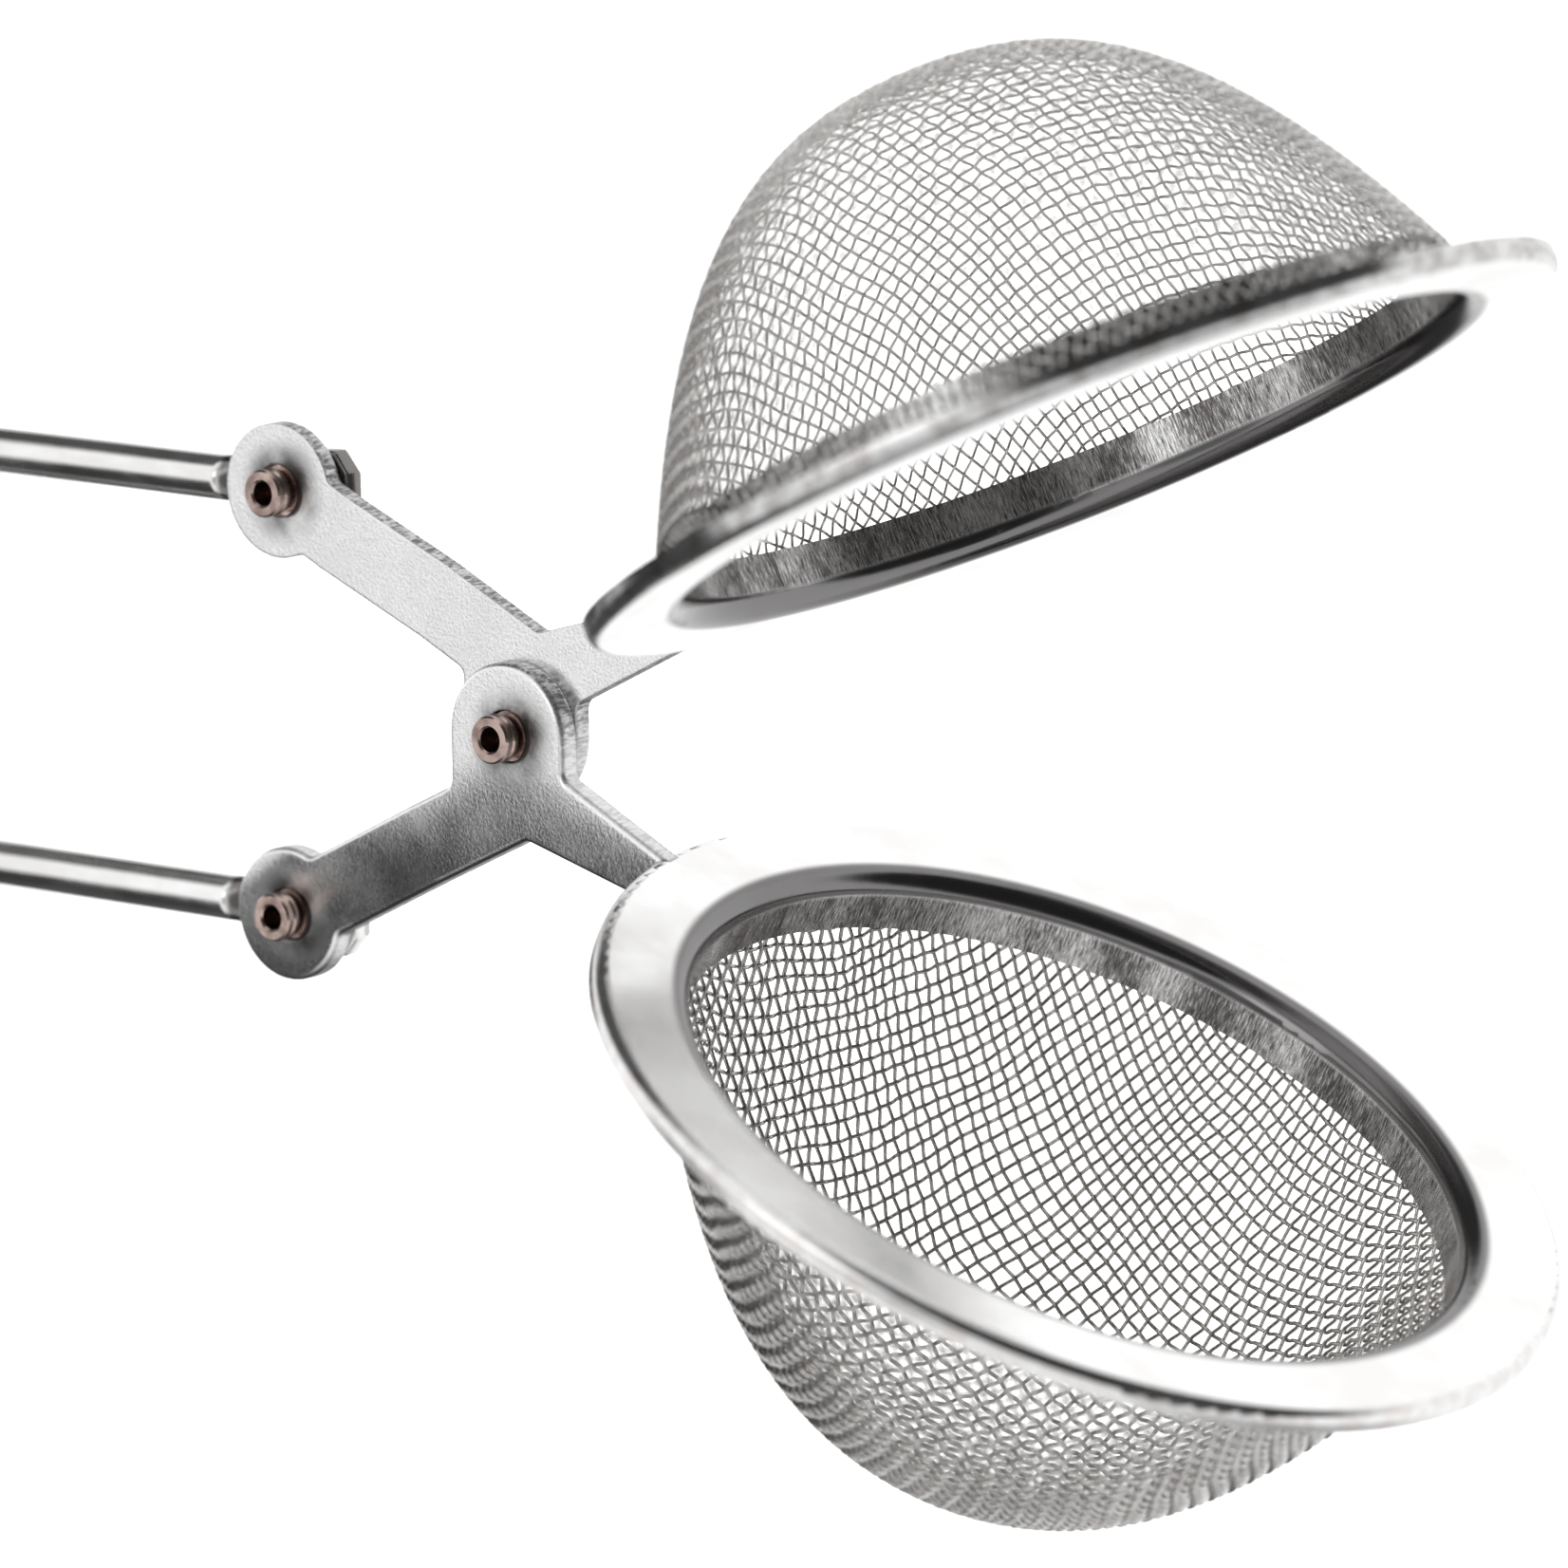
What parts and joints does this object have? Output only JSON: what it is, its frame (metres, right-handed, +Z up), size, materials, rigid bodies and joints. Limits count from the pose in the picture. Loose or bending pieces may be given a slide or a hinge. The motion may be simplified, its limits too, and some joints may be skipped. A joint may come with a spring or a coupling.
{
  "type": "tea infuser",
  "caption": "Squeeze-handle tea infuser: round wire-mesh half bowls with flat rims on crossed lever plates, opened by pressing the legs of a U-bent spring wire handle.",
  "frame": {"origin": "centre of the main pivot, between the two lever plates", "axes": "+X along the tool from handle to bowls, +Y along the pivot axis towards the rear plate, +Z up; drawn open, with the jaws equally above and below Z = 0"},
  "size_m": [0.1778, 0.06, 0.0872],
  "materials": {
    "rim_steel": "polished flange, drawn scratches inside the neck",
    "mesh_steel": "bright drawn wire",
    "plate_steel": "tumbled satin",
    "rivet_steel": "brown-tinted, semi-gloss",
    "wire_steel": "polished"
  },
  "bodies": {
    "lower_handle": {"lower_handle_wire": "wire_steel", "lower_handle_rivet": "rivet_steel"},
    "lower_jaw": {"lower_lever_plate": "plate_steel", "lower_rim": "rim_steel", "lower_mesh_bowl": "mesh_steel"},
    "upper_jaw": {"upper_lever_plate": "plate_steel", "upper_rim": "rim_steel", "upper_mesh_bowl": "mesh_steel", "pivot_rivet": "rivet_steel", "upper_handle_rivet": "rivet_steel"},
    "upper_handle": {"upper_handle_wire": "wire_steel"}
  },
  "joints": [
    {"name": "jaw_pivot", "type": "hinge", "parent": "lower_jaw", "child": "upper_jaw", "pos_m": [0, 0, 0], "axis": [0, 1, 0], "range_deg": [0, 53.3]},
    {"name": "lower_handle_pivot", "type": "hinge", "parent": "lower_handle", "child": "lower_jaw", "pos_m": [-0.0184, 0, -0.013], "axis": [0, 1, 0], "range_deg": [-31, 0]},
    {"name": "handle_flex", "type": "hinge", "parent": "lower_handle", "child": "upper_handle", "pos_m": [-0.1135, 0.00141, 0], "axis": [0, 1, 0], "range_deg": [-8.4, 0]}
  ],
  "couplings": [
    {"joint": "lower_handle_pivot", "follows": "jaw_pivot", "ratio": -0.57809},
    {"joint": "handle_flex", "follows": "jaw_pivot", "ratio": -0.15619}
  ]
}
